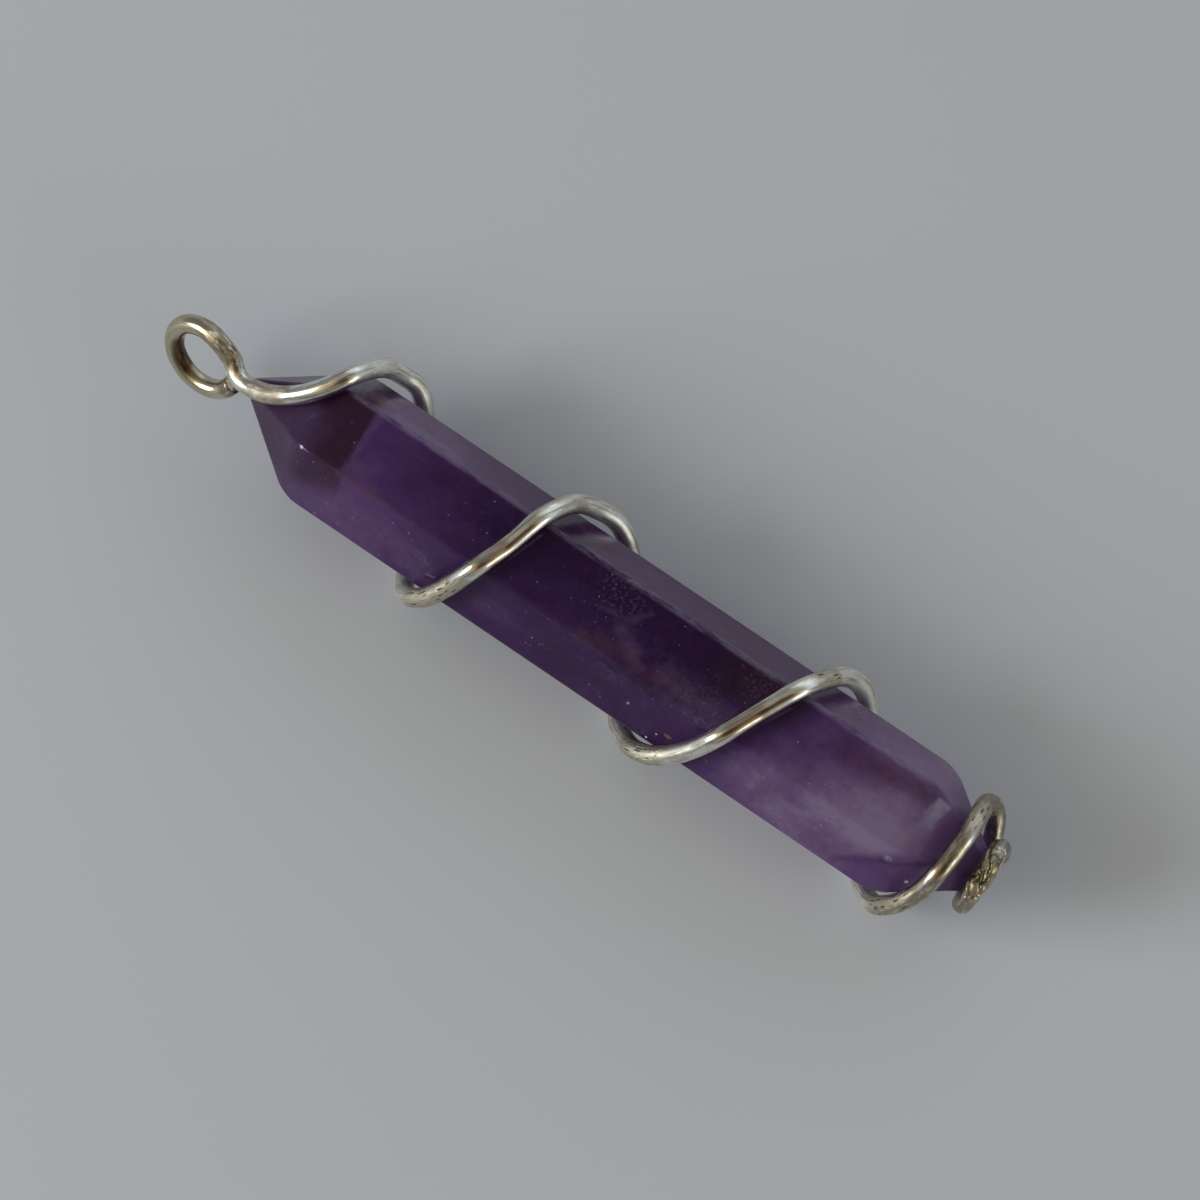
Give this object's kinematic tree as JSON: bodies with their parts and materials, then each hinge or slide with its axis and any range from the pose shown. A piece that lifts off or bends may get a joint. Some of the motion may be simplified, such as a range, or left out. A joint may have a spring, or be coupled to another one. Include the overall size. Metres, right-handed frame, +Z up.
{
  "type": "wire-wrapped amethyst pendant",
  "caption": "Long six-sided crystal point held by a single wire, which forms a hanging loop at one end, winds round the stone and ends in a tight ring on the blunt tip.",
  "frame": {"origin": "on the surface that the pendant lies on, below the middle of its bounding box", "axes": "+X along the stone from the hanging loop to the blunt tip, +Y across the stone, +Z up from the surface"},
  "size_m": [0.0498, 0.0102, 0.0091],
  "materials": {
    "amethyst": "worn natural crystal faces, cloudy purple, paler at both ends",
    "silvered_wire": "silver-plated brass wire, bright with fine draw lines, tarnished in its pits and at its crushed end"
  },
  "bodies": {
    "root": {"crystal": "amethyst", "wire_wrap": "silvered_wire"}
  },
  "joints": []
}
